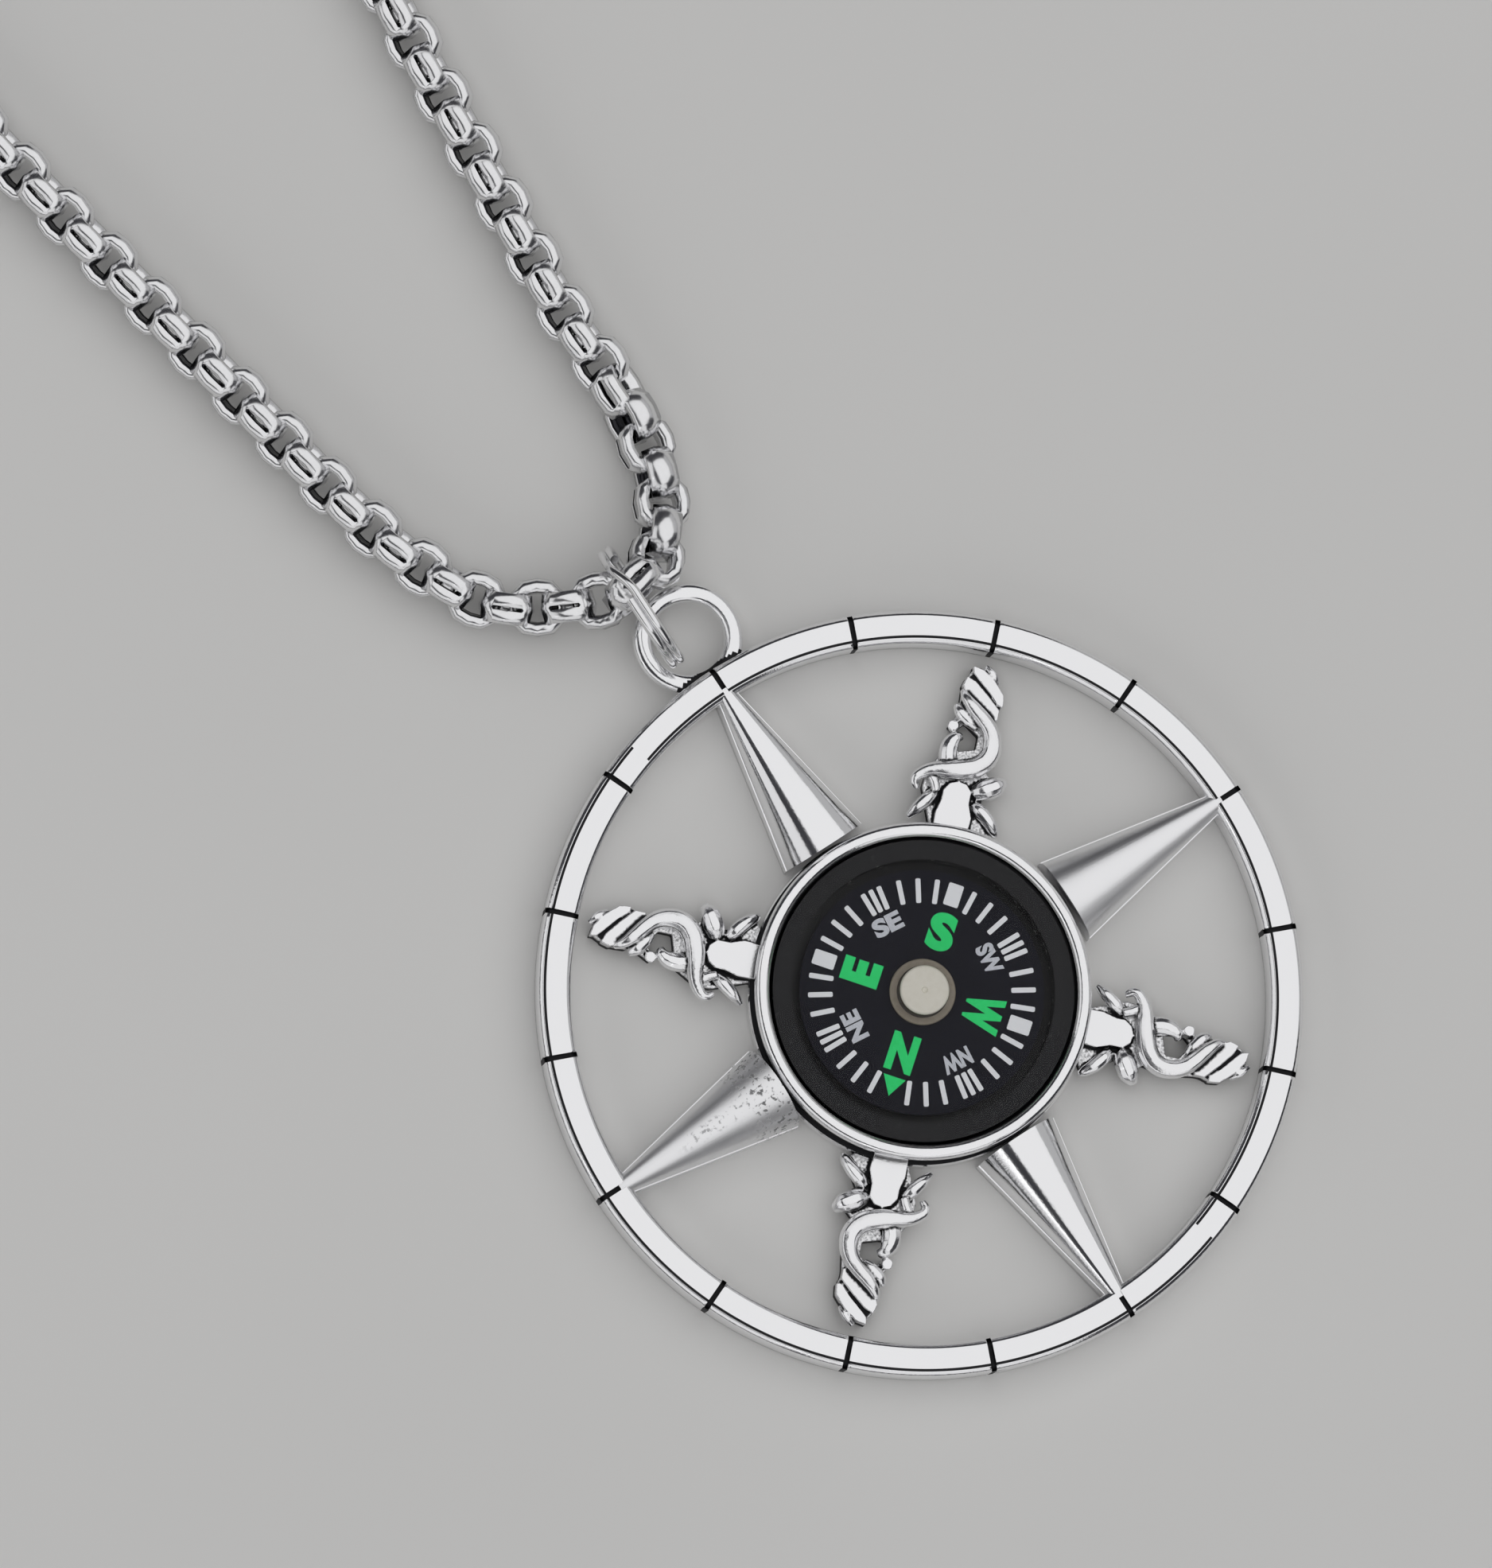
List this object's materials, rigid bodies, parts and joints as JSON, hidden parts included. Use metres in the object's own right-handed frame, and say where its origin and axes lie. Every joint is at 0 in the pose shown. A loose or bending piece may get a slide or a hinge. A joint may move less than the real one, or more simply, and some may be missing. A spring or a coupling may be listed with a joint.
{
  "type": "compass pendant necklace",
  "caption": "Round openwork pendant with pointed rays, scrolled arms and a working compass in the middle, on a rounded box chain with a clasp.",
  "frame": {"origin": "middle of the pendant's flat back, on the surface that it lies on", "axes": "+Y from the compass towards the eyelet and the clasp, +Z out of the compass dial"},
  "size_m": [0.1212, 0.3088, 0.0081],
  "materials": {
    "cast_silver": "polished antique silver plate with darkened recesses",
    "chain_steel": "polished steel",
    "capsule_black": "gloss",
    "card_black": "satin black with printed marks",
    "cap_ivory": "satin ivory",
    "lens_clear": "clear polished",
    "pin_steel": "turned steel"
  },
  "bodies": {
    "necklace": {"pendant_frame": "cast_silver", "capsule_body": "capsule_black", "capsule_lens": "lens_clear", "pivot_pin": "pin_steel", "split_ring": "chain_steel", "chain_left": "chain_steel", "chain_right": "chain_steel", "clasp": "chain_steel", "clasp_ring": "chain_steel", "tail_ring": "chain_steel"},
    "card": {"compass_card": "card_black", "card_cap": "cap_ivory"}
  },
  "joints": [
    {"name": "card_turn", "type": "hinge", "parent": "necklace", "child": "card", "pos_m": [0, 0, 0.0024], "axis": [0, 0, 1], "continuous": true}
  ]
}
